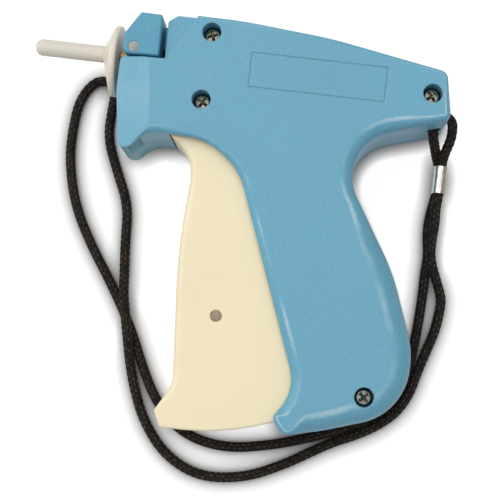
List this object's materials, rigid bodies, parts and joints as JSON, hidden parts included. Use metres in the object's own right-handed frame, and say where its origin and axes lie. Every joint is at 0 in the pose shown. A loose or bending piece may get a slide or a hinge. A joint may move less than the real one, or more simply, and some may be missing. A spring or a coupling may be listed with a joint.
{
  "type": "garment tag attacher",
  "caption": "Pistol-shaped hand tool lying on its side: two-piece housing, squeezed trigger, hollow needle under a cap, needle lock lever and a braided wrist lanyard.",
  "frame": {"origin": "on the resting face, directly under the axis of the trigger pivot", "axes": "+X to the rear of the tool (the needle points along -X), +Y up the tool away from the grip, +Z out of the side that faces up"},
  "size_m": [0.1272, 0.1295, 0.026],
  "materials": {
    "housing": "fine-grained light blue ABS",
    "trigger_plastic": "satin cream moulding",
    "cap_plastic": "milky translucent moulding",
    "inner_plastic": "natural acetal",
    "steel_pin": "turned steel",
    "sheet_steel": "stamped steel",
    "spring_steel": "drawn wire",
    "needle_steel": "polished needle steel",
    "zinc_screw": "zinc-plated",
    "ferrule_metal": "bright crimped metal",
    "rubber": "soft buffer",
    "cord": "braided near-black cord"
  },
  "bodies": {
    "housing": {"right_shell": "housing", "left_shell": "housing", "housing_screws": "zinc_screw", "lever_bracket": "sheet_steel", "fulcrum_axle": "steel_pin", "return_spring": "spring_steel", "rod_guide": "inner_plastic", "slider_buffer": "rubber", "feed_guide": "inner_plastic", "feed_wheel_axle": "steel_pin", "pawl_pin": "steel_pin", "anti_reverse_spring": "spring_steel", "cutter_blade": "sheet_steel", "needle": "needle_steel", "needle_hub": "needle_steel", "lock_lever_pin": "steel_pin", "lanyard_short_loop": "cord", "lanyard_long_loop": "cord", "lanyard_ferrule": "ferrule_metal"},
    "trigger": {"trigger": "trigger_plastic", "trigger_pin": "steel_pin"},
    "lever": {"drive_lever": "sheet_steel"},
    "slider": {"slider": "inner_plastic", "slider_pin": "steel_pin", "push_rod": "steel_pin"},
    "lock_lever": {"needle_lock_lever": "housing"},
    "cap": {"needle_cap": "cap_plastic"},
    "wheel": {"feed_wheel": "inner_plastic"},
    "pawl": {"feed_pawl": "sheet_steel"}
  },
  "joints": [
    {"name": "trigger_squeeze", "type": "hinge", "parent": "housing", "child": "trigger", "pos_m": [0, 0, 0], "axis": [0, 0, 1], "range_deg": [0, 12], "stiffness_Nm_per_rad": 0.6, "springref_deg": -28.65, "deforming": ["return_spring"]},
    {"name": "lever_rock", "type": "hinge", "parent": "housing", "child": "lever", "pos_m": [0.0266, -0.0439, 0], "axis": [0, 0, 1], "range_deg": [-0.05, 37.05]},
    {"name": "slider_stroke", "type": "slide", "parent": "housing", "child": "slider", "axis": [-1, 0, 0], "range_m": [-0.0001, 0.0381]},
    {"name": "lock_lever_turn", "type": "hinge", "parent": "housing", "child": "lock_lever", "pos_m": [-0.0211, 0.0132, 0], "axis": [0, 0, 1], "range_deg": [0, 30]},
    {"name": "cap_pull", "type": "slide", "parent": "housing", "child": "cap", "axis": [-1, 0, 0], "range_m": [0, 0.026]},
    {"name": "feed_wheel_turn", "type": "hinge", "parent": "housing", "child": "wheel", "pos_m": [-0.0065, 0.0049, 0], "axis": [0, 0, 1], "continuous": true},
    {"name": "feed_pawl_swing", "type": "hinge", "parent": "housing", "child": "pawl", "pos_m": [0.0056, 0.0046, 0], "axis": [0, 0, -1], "range_deg": [0, 8], "stiffness_Nm_per_rad": 0.002, "springref_deg": -5.73}
  ],
  "couplings": [
    {"joint": "lever_rock", "follows": "trigger_squeeze", "ratio": 3.0833},
    {"joint": "slider_stroke", "follows": "trigger_squeeze", "m_per_rad": 0.18144}
  ]
}
